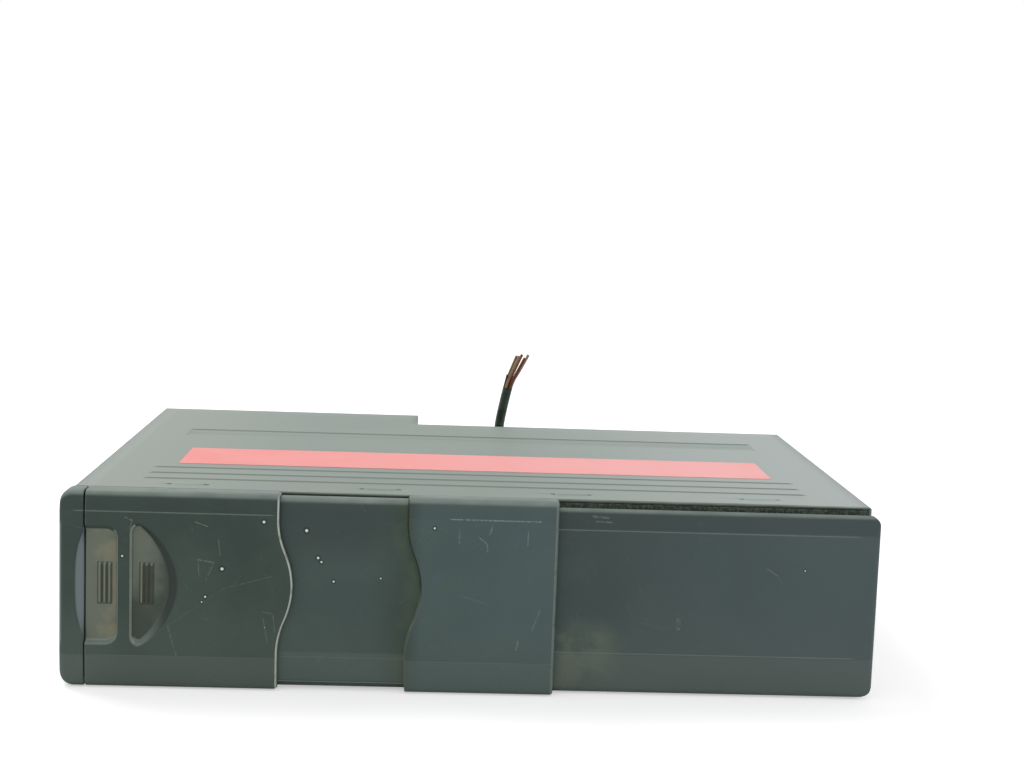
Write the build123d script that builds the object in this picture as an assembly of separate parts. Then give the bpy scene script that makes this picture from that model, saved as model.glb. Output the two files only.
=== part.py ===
"""Six-disc trunk-mounted disc changer: steel case, moulded front with a two-stage
sliding door, removable magazine of six trays, rising play deck and wiring stub.

Frame: origin under the middle of the case on the surface it stands on, +X to the
right of the front, +Y to the rear, +Z up. Millimetres.
"""
import os
from math import atan, cos, pi, radians, sin, tan
from build123d import *

os.makedirs("parts", exist_ok=True)

# ---------------------------------------------------------------- driving sizes
width = 263.4               # across the moulded front
height = 64.0               # surface to the top of the doors
depth = 185.0               # door face to the rear of the left-hand bay
front = -depth / 2          # plane of the door faces

fit_gap = 0.3               # between pieces that slide past each other
shaft_gap = 0.05            # radial, a shaft in its bearing
slip_gap = 0.1              # under a piece that only rests

# case, pressed steel
case_half = 128.0           # outside of the tub's side walls
case_sheet = 1.2
cover_sheet = 0.9
cover_top = height - 0.4
cover_edge = 8.2            # front edge of the cover, behind the door faces
step_x = -21.5              # right-hand side of the deeper left bay
step_depth = 25.0           # how far the right-hand rear stands in
lid_lip = 19.0              # height of the cover's turned-down lips

# moulded front
door_base = 0.15            # underside of the doors
crease_high = height - 6.5
crease_low = 10.9
face_lean = 0.6             # how far the face leans back beyond a crease
corner_round = 2.2
end_round = 2.2             # at the two ends, seen from above
cap_corner = 4.5            # and seen from the front
panel_corner = 5.0
cap_wide = 8.0              # fixed left-hand cap
cap_right = cap_wide - width / 2
door_wall = 1.2
door_flange = 0.8           # top and bottom walls of a door
level_step_y = 2.6          # leading door's face to the follower's recessed face
level_step_z = 1.5          # and crease to crease
level_step_end = 1.1        # and top to top
panel_step_y = 3.9          # leading door's face to the fixed panel
panel_step_z = 3.0
panel_step_ends = (2.2, 0.2)  # top to top, underside to underside
rail_wall = 1.4             # thickness of the fixed panel and its rails
fascia_back = 9.4
rail_groove = 8.0           # rear side of the running groove
groove_floor = height - 4.8
mouth_left = cap_right + 0.2
mouth_right = 19.5
mouth_low = 9.0
mouth_high = height - 9.0

# doors
leading_edge = -62.4        # straight part of the leading door's right edge
follower_edge = -21.8       # straight part of the raised panel's left edge
follower_right = 26.4
tongue_left = -80.0
bulge_rise = 4.6
bulge_half = 22.0
bulge_z = 34.2

# finger scoops
scoop_low = 14.3
scoop_high = height - 11.0
scoop_depth = 1.6
pocket_wall = 0.7
grip_left = cap_right - 3.5
grip_right = cap_right + 10.9
dee_left = cap_right + 14.3
dee_right = cap_right + 30.7
grip_rib = 0.8
grip_rib_pitch = 1.6
grip_rib_low = 27.4
grip_rib_high = 40.6

# discs, trays and magazine
disc_radius = 60.0
disc_hole = 7.5
disc_thick = 1.2
disc_x = -61.0              # centre of a stored disc
disc_margin = 0.4           # between a disc's rim and its tray's
disc_y = front + 79.0
play_x = 61.0               # centre of a played disc
tray_pitch = 4.6
tray_thick = 2.6
tray_ledge = 1.0
tray_half = 61.6            # half the tray's size from front to rear
tray_fork = 40.0            # half the gap between the tray's arms
tray_count = 6
tray_left = disc_x - disc_radius - disc_margin
tray_right = -0.6
tray_base = 18.9            # underside of the lowest tray
shell_right = -0.4
shell_front = front + 14.5
shell_wall = 1.6
shell_left = tray_left - 0.2 - shell_wall
shell_rear_wall = 2.0

# floating frame
frame_sheet = 1.2
frame_half = case_half - 2.1
frame_front = front + 11.4
play_floor = 3.3            # underside of the frame's floor in the play bay
frame_high = height - 9.0
bay_wall = 2.2              # right side of the riser between the two bays

# play deck
deck_base = 5.2
deck_lift = 31.4
motor_radius = 11.0
platter_radius = 15.0
platter_top = 17.6
spindle_radius = 1.0
rod_radius = 1.2
rod_level = 10.9
rod_half = 20.0             # the two rods stand this far each side of the spindle
sled_screw_off = 28.0
lift_x = frame_half - 8.9
lift_half = 35.0            # screw and post stand this far each side of the spindle
post_radius = 2.0
lift_gear_radius = 7.0
pinion_radius = 3.0
mesh_gap = 0.2
gear_low = 8.0
gear_high = 11.0

# ejection
button_x = 10.5
button_z = 32.5
button_wide = 10.0
button_high = 9.0
lever_x = -25.0
lever_y = front + 150.0
lever_reach = 40.0
nose_radius = 2.0

# wiring
socket_x = 13.4
socket_z = 31.0
sleeve_radius = 2.0
wire_radius = 0.6

# fastening
side_hole_radius = 2.1
side_hole_z = 22.0
side_hole_front = front + 45.0
side_hole_rear = front + 125.0
screw_radius = 1.5

# values that follow
shell_low = tray_base - fit_gap - shell_wall
bay_floor = shell_low - fit_gap             # top of the frame's floor in the magazine bay
tray_top = tray_base + tray_thick
last_top = tray_top + tray_pitch * (tray_count - 1)
shell_high = last_top + 0.5 + shell_wall
shell_rear = disc_y + tray_half + 0.4 + shell_rear_wall
case_rear = depth / 2 - cover_sheet         # outside of the tub's rear wall, left bay
case_rear_right = case_rear - step_depth
frame_rear = case_rear_right - case_sheet - 0.9


def block(x, y, z):
    """A box between two places on each axis."""
    size = Box(x[1] - x[0], y[1] - y[0], z[1] - z[0])
    return Pos((x[0] + x[1]) / 2, (y[0] + y[1]) / 2, (z[0] + z[1]) / 2) * size


def pillar(x, y, z, radius):
    """A round bar standing between two heights."""
    return Pos(x, y, (z[0] + z[1]) / 2) * Cylinder(radius, z[1] - z[0])


def bar_x(x, y, z, radius):
    """A round bar lying along X."""
    return Pos((x[0] + x[1]) / 2, y, z) * Rot(0, 90, 0) * Cylinder(radius, x[1] - x[0])


def bar_y(x, y, z, radius):
    """A round bar lying along Y."""
    return Pos(x, (y[0] + y[1]) / 2, z) * Rot(90, 0, 0) * Cylinder(radius, y[1] - y[0])


def upright(outline, z):
    """An outline in plan, drawn up between two heights."""
    return extrude(Pos(0, 0, z[0]) * outline, amount=z[1] - z[0])


def save(shape, name):
    shape.label = name
    export_step(shape, f"parts/{name}.step")


# ---------------------------------------------------------------- moulded front
def front_section(inset_y, inset_z, ends, back):
    """The front's outline seen from its end: a leaning face with rounded corners."""
    face_y = front + inset_y
    top = height - ends[0]
    base = door_base + ends[1]
    points = [
        (back, top),
        (face_y + face_lean, top),
        (face_y, crease_high - inset_z),
        (face_y, crease_low + inset_z),
        (face_y + face_lean, base),
        (back, base),
    ]
    outline = make_face(Polyline(*points, close=True))
    corners = [v for v in outline.vertices() if abs(v.X - face_y - face_lean) < 1e-6]
    return fillet(corners, corner_round)


def front_length(x, inset_y, inset_z, ends, back):
    """That outline drawn out between two places across the front."""
    section = front_section(inset_y, inset_z, ends, back)
    return extrude(Plane.YZ.offset(x[0]) * section, amount=x[1] - x[0])


def round_end(end, inner, inset_y, ends, back, corner):
    """A block whose far end is rounded, seen from the front and from above."""
    face_y = front + inset_y
    z = (door_base + ends[1], height - ends[0])
    view = make_face(Polyline((inner, z[0]), (end, z[0]), (end, z[1]), (inner, z[1]), close=True))
    view = fillet([v for v in view.vertices() if abs(v.X - end) < 1e-6], corner)
    plan = Polyline((inner, face_y), (end, face_y), (end, back), (inner, back), close=True)
    plan = make_face(plan)
    nose = [v for v in plan.vertices() if abs(v.X - end) + abs(v.Y - face_y) < 1e-6]
    solid = extrude(Plane.XZ.offset(-back) * view, amount=back - face_y)
    return solid & upright(fillet(nose, end_round), z)


def bulged_edge(x, high, low):
    """An edge that runs straight down, swells to the right in three arcs and goes on."""
    turn = 2 * atan(bulge_rise / bulge_half)
    arc = bulge_half / 2 / sin(turn)
    half_turn_z = arc * sin(turn / 2)
    half_turn_x = arc * (1 - cos(turn / 2))
    top = bulge_z + bulge_half
    bottom = bulge_z - bulge_half
    middle = bulge_rise / 2
    upper = bulge_z + bulge_half / 2
    lower = bulge_z - bulge_half / 2
    return [
        Line((x, high), (x, top)),
        ThreePointArc((x, top), (x + half_turn_x, top - half_turn_z), (x + middle, upper)),
        ThreePointArc((x + middle, upper), (x + bulge_rise, bulge_z), (x + middle, lower)),
        ThreePointArc((x + middle, lower), (x + half_turn_x, bottom + half_turn_z), (x, bottom)),
        Line((x, bottom), (x, low)),
    ]


def edged_plate(straight_x, edge_x, y):
    """A plate with one straight side and the bulged edge, deep enough to cut with."""
    high = height + 1
    low = -1
    edge = bulged_edge(edge_x, high, low)
    close = [
        Line((edge_x, low), (straight_x, low)),
        Line((straight_x, low), (straight_x, high)),
        Line((straight_x, high), (edge_x, high)),
    ]
    outline = make_face(Curve() + edge + close)
    return extrude(Plane.XZ.offset(-y[1]) * outline, amount=y[1] - y[0])


def scoop(x, radius, y):
    """A recess with rounded corners in the door face."""
    hollow = block(x, y, (scoop_low, scoop_high))
    return fillet(hollow.edges().filter_by(Axis.Y), radius)


def dee_scoop(grow, y):
    """The closing scoop: straight at the left, bowed to the right."""
    left = dee_left - grow
    top = scoop_high + 0.5 + grow
    low = scoop_low - 0.2 - grow
    middle = (top + low) / 2
    neck = dee_left + 4.0
    outline = [
        Line((left, low + 6), (left, top - 6)),
        ThreePointArc((left, top - 6), (left + 1.1, top - 2), (neck, top)),
        ThreePointArc((neck, top), (dee_right + grow, middle), (neck, low)),
        ThreePointArc((neck, low), (left + 1.1, low + 2), (left, low + 6)),
    ]
    return extrude(Plane.XZ.offset(-y[1]) * make_face(Curve() + outline), amount=y[1] - y[0])


def grip_ribs(x):
    """Three small upright ribs for the finger."""
    face = front + scoop_depth
    ribs = Part()
    for number in range(3):
        start = x + number * grip_rib_pitch
        span = (start, start + grip_rib)
        ribs += block(span, (face - 0.7, face), (grip_rib_low, grip_rib_high))
    return ribs


skin = (front - 1, front + scoop_depth)
pocket = (front + door_wall, front + scoop_depth + pocket_wall)
hook_y = (front + 6.9, front + 7.9)
follower_hook_y = (front + 5.6, front + 6.6)

# leading door: it hangs on the follower's top edge and carries both finger scoops
flush = (0, 0)
return_y = front + panel_step_y - fit_gap   # how far back the doors' lower walls reach
under = block((-width, width), (return_y, front + 20), (-1, 8))
door_left = cap_right + fit_gap
leading_span = (door_left, leading_edge + bulge_rise + 1)
leading_back = hook_y[1]
channel = front_length(leading_span, 0, 0, flush, leading_back)
flanges = (door_flange, door_flange)
channel -= front_length(leading_span, door_wall, door_wall, flanges, leading_back + 1)
channel += block(leading_span, hook_y, (height - 2.4, height - door_flange))
leading_door = channel & edged_plate(door_left - 1, leading_edge, (front - 1, leading_back + 1))
leading_door += block((door_left, grip_right + 1.0), pocket, (scoop_low - 1, scoop_high + 1))
leading_door += dee_scoop(0.8, pocket)
leading_door -= scoop((grip_left, grip_right), 3.4, skin)
leading_door -= dee_scoop(0, skin)
leading_door += grip_ribs(cap_right + 4.4)
leading_door += grip_ribs(cap_right + 17.6)
leading_door -= under
save(leading_door, "leading_door")

# follower: recessed tongue under the leading door, and the raised panel
tongue_span = (tongue_left, follower_right)
follower_back = follower_hook_y[1]
level_ends = (level_step_end, level_step_end)
tongue = front_length(tongue_span, level_step_y, level_step_z, level_ends, follower_back)
raised = front_length((follower_edge - 1, follower_right), 0, 0, flush, follower_back)
raised -= edged_plate(follower_edge - 9, follower_edge, (front - 1, follower_back + 1))
follower_door = tongue + raised
inner = (tongue_left - 1, follower_right + 1)
inner_y = panel_step_y - fit_gap
inner_ends = (panel_step_ends[0] - fit_gap, level_step_end + door_flange)
follower_door -= front_length(inner, inner_y, panel_step_z - fit_gap, inner_ends, follower_back + 1)
follower_lip = (groove_floor + fit_gap, height - inner_ends[0])
follower_door += block(tongue_span, follower_hook_y, follower_lip)
follower_door -= under
save(follower_door, "follower_door")

# fixed front: left-hand cap, top rail, the wall behind and the right-hand panel
back_y = (front + rail_groove, front + fascia_back)
panel_left = mouth_right + 4.5
panel_sizes = (panel_step_y, panel_step_z, panel_step_ends, back_y[0])
panel = front_length((cap_right, width / 2), *panel_sizes)
panel &= round_end(width / 2, cap_right, panel_step_y, panel_step_ends, back_y[0], panel_corner)
cap_back = front + cover_edge - 0.2
end_cap = front_length((-width / 2, cap_right), 0, 0, flush, cap_back)
end_cap &= round_end(-width / 2, cap_right, 0, flush, cap_back, cap_corner)
groove_y = (front + panel_step_y + rail_wall, front + rail_groove)
panel -= block((cap_right, width / 2 + 1), groove_y, (groove_floor, height))
side_panel = panel & block((panel_left, width), (front, back_y[0]), (0, height))
back_half = case_half - 1.6
fascia = panel - block((panel_left, width), (front - 1, back_y[0] + 1), (-1, height + 1))
fascia += block((-back_half, back_half), back_y, (door_base + 0.2, cover_top - cover_sheet - 0.2))
hollow_y = (front + panel_step_y + rail_wall, front + fascia_back + 1)
hollow = block((panel_left, width / 2 - 6), hollow_y, (mouth_low, mouth_high))
fascia -= hollow
side_panel -= hollow
mouth_y = (front, front + rail_groove)
fascia -= block((mouth_left, mouth_right), mouth_y, (mouth_low, mouth_high))
fascia -= block((mouth_left, 1.5), (front, front + 12), (mouth_low, mouth_high))
button_hole = (button_wide / 2 + fit_gap, button_high / 2 + fit_gap)
fascia -= block(
    (button_x - button_hole[0], button_x + button_hole[0]),
    (front + 7, front + 11),
    (button_z - button_hole[1], button_z + button_hole[1]),
)
board_y = (front + 14.6, front + 15.6)
for x, z in ((4.5, 22.0), (16.5, 43.0)):
    fascia += bar_y(x, (front + rail_groove, board_y[0]), z, 1.6)
screw_x = (panel_left + 6.0, width / 2 - 12.7)
screw_spots = [(x, z) for x in screw_x for z in (mouth_low + 4.0, mouth_high - 4.0)]
for x, z in screw_spots:
    side_panel += bar_y(x, (hollow_y[0], front + fascia_back), z, 3.2)
    side_panel -= bar_y(x, (front + 6.4, front + fascia_back + 1), z, 1.3)
save(fascia, "fascia")
save(side_panel, "side_panel")

# the cap's share of the left scoop slopes down to meet the door's
ramp = Polyline(
    (grip_left, front - 1),
    (grip_left, front),
    (cap_right + 1, front + scoop_depth * 1.2),
    (cap_right + 1, front - 1),
    close=True,
)
end_cap -= upright(make_face(ramp), (scoop_low + 2, scoop_high - 2))
end_cap -= block((cap_right - 5.3, cap_right - 1.8), (front + 4.2, cap_back + 1), (4.0, height - 4.0))
save(end_cap, "end_cap")

fascia_screws = Part()
for x, z in screw_spots:
    shaft = bar_y(x, (front + 6.6, front + fascia_back + case_sheet), z, 1.2)
    head_y = (front + fascia_back + case_sheet, front + fascia_back + case_sheet + 1.5)
    fascia_screws += shaft + bar_y(x, head_y, z, 2.6)
save(fascia_screws, "fascia_screws")

# ---------------------------------------------------------------- steel case
tub_front = front + fascia_back
tub_plan = Polyline(
    (-case_half, tub_front),
    (case_half, tub_front),
    (case_half, case_rear_right),
    (step_x - cover_sheet, case_rear_right),
    (step_x - cover_sheet, case_rear),
    (-case_half, case_rear),
    close=True,
)
tub_height = cover_top - cover_sheet
plan = make_face(tub_plan)
tub = upright(plan, (0, tub_height))
inside = offset(plan, amount=-case_sheet, kind=Kind.INTERSECTION)
tub_hollow = upright(inside, (case_sheet, tub_height + 1))
bottom_chassis = tub - tub_hollow
door_cut_y = (tub_front - 1, tub_front + case_sheet + 0.5)
bottom_chassis -= block((3.4 - case_half, mouth_right - 1.1), door_cut_y, (14.0, 52.0))
for x, z in screw_spots:
    bottom_chassis -= bar_y(x, door_cut_y, z, 1.5)
wall_cut = {-1: (-case_half - 2, 2 - case_half), 1: (case_half - 2, case_half + 2)}
for side in (-1, 1):
    for y in (side_hole_front, side_hole_rear):
        bottom_chassis -= bar_x(wall_cut[side], y, side_hole_z, side_hole_radius)
for x in (36, 52, 68, 84, 100):
    bottom_chassis -= block((x, x + 6), (front + 60, front + 100), (-1, case_sheet + 1))

screw_z = cover_top - 13.6
side_screws = [(side, y, screw_z) for y in (front + 34.0, case_rear_right - 25.1) for side in (-1, 1)]
rear_screws = [(40.0, screw_z + 2.0), (case_half - 16.0, screw_z + 2.0)]
cover_outer = case_half + cover_sheet
cover_plan = Polyline(
    (-cover_outer, front + cover_edge),
    (cover_outer, front + cover_edge),
    (cover_outer, case_rear_right + cover_sheet),
    (step_x, case_rear_right + cover_sheet),
    (step_x, depth / 2),
    (-cover_outer, depth / 2),
    close=True,
)
lid_plan = make_face(cover_plan)
lid = upright(lid_plan, (cover_top - lid_lip, cover_top))
lid_hollow = upright(plan, (cover_top - lid_lip - 1, cover_top - cover_sheet))
lid -= lid_hollow
lid -= block((-width, width), (front, tub_front), (cover_top - lid_lip - 1, cover_top - cover_sheet))

# stiffening beads and trough, and the four lanced bridges that hold the moulded front
bead_high = height - cover_top
bead_wide = 1.8
bead_span = (-109.5, 110.5)
trough_y = (front + 117.5, front + 130.0)
trough_deep = 0.35
bridge_y = (front + 15.2, front + 18.2)
bridge_half = 4.6
slot_off = 6.0              # middle of a slot from the middle of its bridge
slot_half = 0.75


def bead(x, y):
    """A long rounded bead pressed up out of the cover."""
    shape = block(x, (y - bead_wide / 2, y + bead_wide / 2), (cover_top - 0.2, cover_top + bead_high))
    return fillet(shape.edges().filter_by(Axis.Z), bead_wide / 2 - 0.05)


for y in (26.5, 36.5, 47.0):
    lid += bead(bead_span, front + y)
lid -= block(bead_span, trough_y, (cover_top - trough_deep, cover_top + 1))
for x in (-93.6, -31.2, 31.2, 93.6):
    lid += block((x - bridge_half, x + bridge_half), bridge_y, (cover_top - 0.1, cover_top + bead_high))
    for side in (-1, 1):
        middle = x + side * slot_off
        slot_y = (bridge_y[0] + 0.4, bridge_y[1] - 1.0)
        lid -= block((middle - slot_half, middle + slot_half), slot_y, (cover_top - 2, cover_top + 1))
for side, y, z in side_screws:
    lid -= bar_x(wall_cut[side], y, z, screw_radius + shaft_gap)
    bottom_chassis -= bar_x(wall_cut[side], y, z, screw_radius + shaft_gap)
for x, z in rear_screws:
    through = (case_rear_right - 2, case_rear_right + 2)
    lid -= bar_y(x, through, z, screw_radius + shaft_gap)
    bottom_chassis -= bar_y(x, through, z, screw_radius + shaft_gap)
save(lid, "top_cover")

cover_screws = Part()
for side, y, z in side_screws:
    reach = (side * (case_half - 2), side * cover_outer)
    cover_screws += bar_x((min(reach), max(reach)), y, z, screw_radius)
    head = (side * cover_outer, side * (cover_outer + 1.4))
    cover_screws += bar_x((min(head), max(head)), y, z, 2.8)
for x, z in rear_screws:
    outer_y = case_rear_right + cover_sheet
    cover_screws += bar_y(x, (case_rear_right - 2, outer_y), z, screw_radius)
    cover_screws += bar_y(x, (outer_y, outer_y + 1.4), z, 2.8)
save(cover_screws, "cover_screws")

save(block((-102.6, 104.9), (front + 54.2, front + 86.2), (cover_top, cover_top + 0.15)), "red_strip")

# ---------------------------------------------------------------- floating frame
riser = (bay_wall - frame_sheet, bay_wall)
frame_y = (frame_front, frame_rear)
bay_low = bay_floor - frame_sheet
mech_frame = block((-frame_half, bay_wall), frame_y, (bay_low, bay_floor))
mech_frame += block(riser, frame_y, (play_floor, bay_floor))
mech_frame += block((riser[0], frame_half), frame_y, (play_floor, play_floor + frame_sheet))
mech_frame += block((-frame_half, -frame_half + frame_sheet), frame_y, (bay_low, frame_high))
mech_frame += block((frame_half - frame_sheet, frame_half), frame_y, (play_floor, frame_high))
rear_wall = (frame_rear - frame_sheet, frame_rear)
mech_frame += block((-frame_half, frame_half), rear_wall, (bay_low, frame_high))
mech_frame += block((riser[0], frame_half), rear_wall, (play_floor, frame_high))
mech_frame -= block((0.0, 27.0), (rear_wall[0] - 1, rear_wall[1] + 1), (17.0, 46.0))
for x in (-100, -75, -50):
    window = block((x, x + 18), (frame_front + 30, frame_front + 90), (bay_low - 1, bay_floor + 1))
    mech_frame -= fillet(window.edges().filter_by(Axis.Z), 4)
mech_frame -= block((48, 100), (disc_y - 26, disc_y + 26), (play_floor - 1, play_floor + 2))
save(mech_frame, "mech_frame")

# bridge plate over both bays, with the clamper's round window and a front leg
clamp_window = 10.0
frame_top = block((-frame_half, frame_half), frame_y, (frame_high, frame_high + 1.0))
leg_y = (frame_front, frame_front + frame_sheet)
frame_top += block((42.0, 54.0), leg_y, (play_floor + frame_sheet, frame_high))
frame_top -= pillar(play_x, disc_y, (frame_high - 1, frame_high + 2), clamp_window)
for y in (disc_y - 46, disc_y + 22):
    window = block((28, 98), (y, y + 24), (frame_high - 1, frame_high + 2))
    frame_top -= fillet(window.edges().filter_by(Axis.Z), 6)
for y in (disc_y - 46, disc_y + 6):
    window = block((-108, -18), (y, y + 40), (frame_high - 1, frame_high + 2))
    frame_top -= fillet(window.edges().filter_by(Axis.Z), 6)
screw_y = disc_y - lift_half
post_y = disc_y + lift_half
frame_top -= pillar(lift_x, screw_y, (frame_high - 1, frame_high + 2), post_radius + shaft_gap)
save(frame_top, "frame_top")

# rubber pads between the case and the frame, on two pillars in the left bay
pad_y = (frame_front + 12.6, frame_rear - 7.0)
pad_spots = [(8.9 - frame_half, y, bay_low) for y in pad_y]
pad_spots += [(16.0, pad_y[0], play_floor), (frame_half - 13.9, pad_y[1] - 1, play_floor)]
pad_high = play_floor - case_sheet
damper_pads = Part()
damper_posts = Part()
for x, y, top in pad_spots:
    damper_pads += pillar(x, y, (top - pad_high, top), 4.6)
    if top > play_floor:
        damper_posts += pillar(x, y, (case_sheet, top - pad_high), 4.0)
save(damper_pads, "damper_pads")
save(damper_posts, "damper_posts")

# leaf that keeps the magazine from rattling, hung under the bridge plate
leaf_x = (-90.0, -82.0)
magazine_leaf = block(leaf_x, (disc_y - 4, disc_y + 4), (frame_high - 1.0, frame_high))
leaf_side = Polyline(
    (disc_y + 4, frame_high - 0.5),
    (disc_y + 4, frame_high),
    (disc_y + 24, shell_high + fit_gap + 0.5),
    (disc_y + 34, shell_high + fit_gap + 0.5),
    (disc_y + 34, shell_high + fit_gap),
    (disc_y + 24, shell_high + fit_gap),
    close=True,
)
leaf_profile = Plane.YZ.offset(leaf_x[0]) * make_face(leaf_side)
magazine_leaf += extrude(leaf_profile, amount=leaf_x[1] - leaf_x[0])
save(magazine_leaf, "magazine_leaf")

# ---------------------------------------------------------------- magazine
shell_y = (shell_front, shell_rear)
magazine_shell = block((shell_left, shell_right), shell_y, (shell_low, shell_high))
room_y = (disc_y - tray_half - 0.4, disc_y + tray_half + 0.4)
room_z = (shell_low + shell_wall, shell_high - shell_wall)
magazine_shell -= block((shell_left + shell_wall, shell_right + 1), room_y, room_z)
for number in range(tray_count - 1):
    shelf_z = tray_top + tray_pitch * number + 0.4
    shelf_x = (shell_left + shell_wall, shell_right - 2)
    for y in ((room_y[0], room_y[0] + 1.6), (room_y[1] - 1.6, room_y[1])):
        magazine_shell += block(shelf_x, y, (shelf_z, shelf_z + tray_pitch - tray_thick - 0.8))
notch = pillar(disc_x, shell_front - 6, (shell_high - shell_wall - 1, shell_high + 1), 16)
magazine_shell -= notch & block((-200, 200), (shell_front - 30, room_y[0]), (0, 99))
window = block((-86, -36), (disc_y - 25, disc_y + 25), (shell_high - shell_wall - 1, shell_high + 1))
magazine_shell -= fillet(window.edges().filter_by(Axis.Z), 10)
save(magazine_shell, "magazine_shell")

fork = block((disc_x - 22, 5), (disc_y - tray_fork, disc_y + tray_fork), (0, height))
fork_corners = [e for e in fork.edges().filter_by(Axis.Z) if e.center().X < disc_x]
fork = fillet(fork_corners, 20)
seat_radius = disc_radius + disc_margin
for number in range(tray_count):
    base = tray_base + tray_pitch * number
    seat = base + tray_ledge
    tray_y = (disc_y - tray_half, disc_y + tray_half)
    tray = block((tray_left, tray_right), tray_y, (base, base + tray_thick))
    tray -= fork
    tray -= pillar(disc_x, disc_y, (seat, base + tray_thick + 1), seat_radius)
    save(tray, f"tray_{number + 1}")
    disc = pillar(disc_x, disc_y, (seat, seat + disc_thick), disc_radius)
    disc -= pillar(disc_x, disc_y, (seat - 1, seat + disc_thick + 1), disc_hole)
    save(disc, f"disc_{number + 1}")

# ---------------------------------------------------------------- ejection
button_y = (front + 6.6, front + fascia_back + fit_gap)
stem_y = (button_y[1] + 0.9, front + 13.0)
half_wide = button_wide / 2
half_high = button_high / 2
cap_z = (button_z - half_high, button_z + half_high)
key = block((button_x - half_wide, button_x + half_wide), button_y, cap_z)
key_front = [e for e in key.edges() if abs(e.center().Y - button_y[0]) < 1e-3]
key = fillet(key_front, 0.8)
eject_button = key + block(
    (button_x - half_wide - 1, button_x + half_wide + 1),
    (button_y[1], stem_y[0]),
    (button_z - half_high - 1, button_z + half_high + 1),
)
eject_button += bar_y(button_x, stem_y, button_z, 1.8)
save(eject_button, "eject_button")

switch_y = (front + 12.2, board_y[0])
switch_board = block((2.8, 18.2), board_y, (20.0, 45.0))
switch_board += block((button_x - 3.5, button_x + 3.5), switch_y, (button_z - 3.5, button_z + 3.5))
switch_board -= bar_y(button_x, (switch_y[0] - 1, board_y[0]), button_z, 1.8 + 2 * shaft_gap)
save(switch_board, "switch_board")

pin_high = bay_floor + 10.0
save(pillar(lever_x, lever_y, (bay_floor, pin_high), 1.5), "lever_pin")
lever_z = (bay_floor + 1.3, bay_floor + 3.3)
nose_y = shell_rear + fit_gap + nose_radius
arm = make_hull(
    (Pos(lever_x, lever_y) * Circle(4)).edges()
    + (Pos(lever_x - lever_reach, nose_y) * Circle(nose_radius)).edges()
)
eject_lever = upright(arm, lever_z)
eject_lever += pillar(lever_x, lever_y, (bay_floor + 0.3, lever_z[1] + 1), 3)
eject_lever -= pillar(lever_x, lever_y, (bay_floor, lever_z[1] + 2), 1.5 + shaft_gap)
save(eject_lever, "eject_lever")
eject_spring = pillar(lever_x, lever_y, (lever_z[1] + 1.3, pin_high - 0.5), 3.0)
eject_spring -= pillar(lever_x, lever_y, (lever_z[1], pin_high + 1), 1.6)
save(eject_spring, "eject_spring")

# ---------------------------------------------------------------- play deck
deck_z = (deck_base, deck_base + frame_sheet)
deck_top = deck_z[1]
deck_half = 38.0
deck_plate = block((44, 108), (disc_y - deck_half, disc_y + deck_half), deck_z)
deck_right = lift_x + 4.4
deck_plate += block((107, deck_right), (disc_y - 26, disc_y + 33), deck_z)
for y in (disc_y - deck_half, disc_y + deck_half - frame_sheet):
    deck_plate += block((44, 108), (y, y + frame_sheet), (deck_base, deck_top + 3.5))
support_z = (deck_top, rod_level + 2.6)
for y in (disc_y - rod_half, disc_y + rod_half):
    deck_plate += block((66.5, 68.0), (y - 3, y + 3), support_z)
end_x = (deck_right - frame_sheet, deck_right)
deck_plate += block(end_x, (disc_y - 26, disc_y + 33), support_z)
ear_z = (gear_high + 0.8, platter_top - 0.1)
for y in (screw_y, post_y):
    inner_y = (y - 3.5, y + 3.5)
    deck_plate += block((103, 107.8), inner_y, (deck_base, ear_z[1]))
    deck_plate += block((103, lift_x + 4), inner_y, ear_z)
    deck_plate -= pillar(lift_x, y, (0, 40), post_radius + shaft_gap)
screw_line = disc_y + sled_screw_off
deck_plate -= bar_x((end_x[0] - 1, end_x[1] + 1), screw_line, rod_level, rod_radius + shaft_gap)
save(deck_plate, "deck_plate")

spindle_motor = pillar(play_x, disc_y, (deck_top, deck_top + 5.8), motor_radius)
spindle_motor -= pillar(play_x, disc_y, (deck_top + 1, deck_top + 7), spindle_radius + shaft_gap)
save(spindle_motor, "spindle_motor")

turntable = pillar(play_x, disc_y, (deck_top + 1.3, platter_top - 1), spindle_radius)
turntable += pillar(play_x, disc_y, (deck_top + 6.2, platter_top - 2), 6)
turntable += pillar(play_x, disc_y, (platter_top - 2, platter_top), platter_radius)
turntable += Pos(play_x, disc_y, platter_top + 0.85) * Cone(disc_hole - 0.3, disc_hole - 2, 1.7)
save(turntable, "turntable")

puck_low = platter_top + deck_lift + disc_thick + fit_gap
clamper = pillar(play_x, disc_y, (puck_low, frame_high - 0.6), platter_radius)
clamper += pillar(play_x, disc_y, (puck_low, frame_high + 1.6), clamp_window - 0.4)
clamper += pillar(play_x, disc_y, (frame_high + 1.3, frame_high + 2.6), clamp_window + 2)
clamper -= pillar(play_x, disc_y, (puck_low - 1, puck_low + 1.6), disc_hole + 0.6)
save(clamper, "clamper")

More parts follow.
